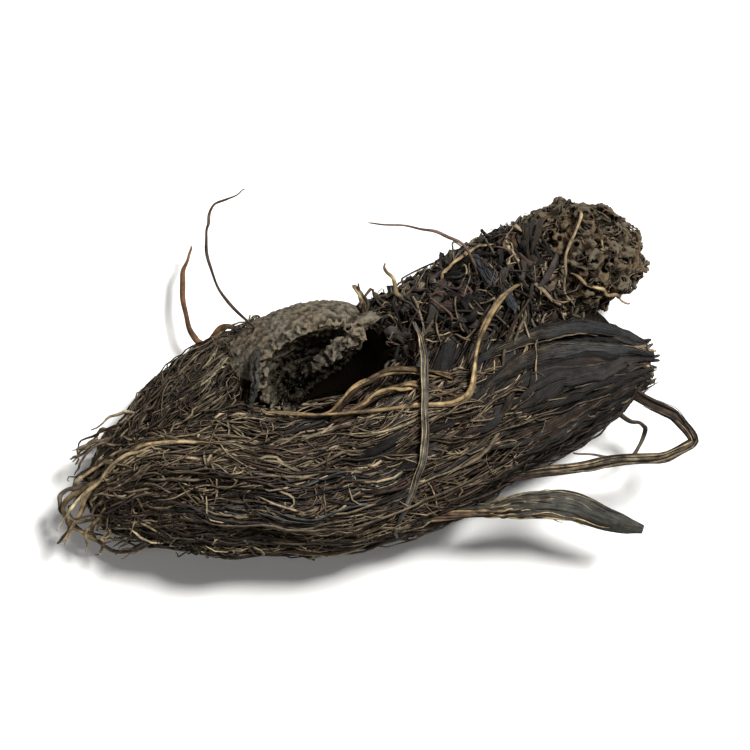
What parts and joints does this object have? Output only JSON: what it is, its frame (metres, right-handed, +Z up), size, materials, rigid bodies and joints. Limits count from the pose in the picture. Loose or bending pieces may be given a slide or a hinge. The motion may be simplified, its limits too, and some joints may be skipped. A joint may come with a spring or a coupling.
{
  "type": "dried valerian root",
  "caption": "Whole dried valerian rootstock lying on its side: a short gnarled rhizome with knobbly crowns, and its matted roots swept together into one thick bundle with frayed tips",
  "frame": {"origin": "middle of the root's own box, on the surface it lies on", "axes": "+X along the bundle of roots towards its narrow end, +Y across it towards the crowns, +Z up"},
  "size_m": [0.059, 0.034, 0.0139],
  "materials": {
    "dried_root": "dry dark brown plant fibre, dull, with grey bark on the crowns and a few paler roots"
  },
  "bodies": {
    "root": {"valerian_root": "dried_root"}
  },
  "joints": []
}
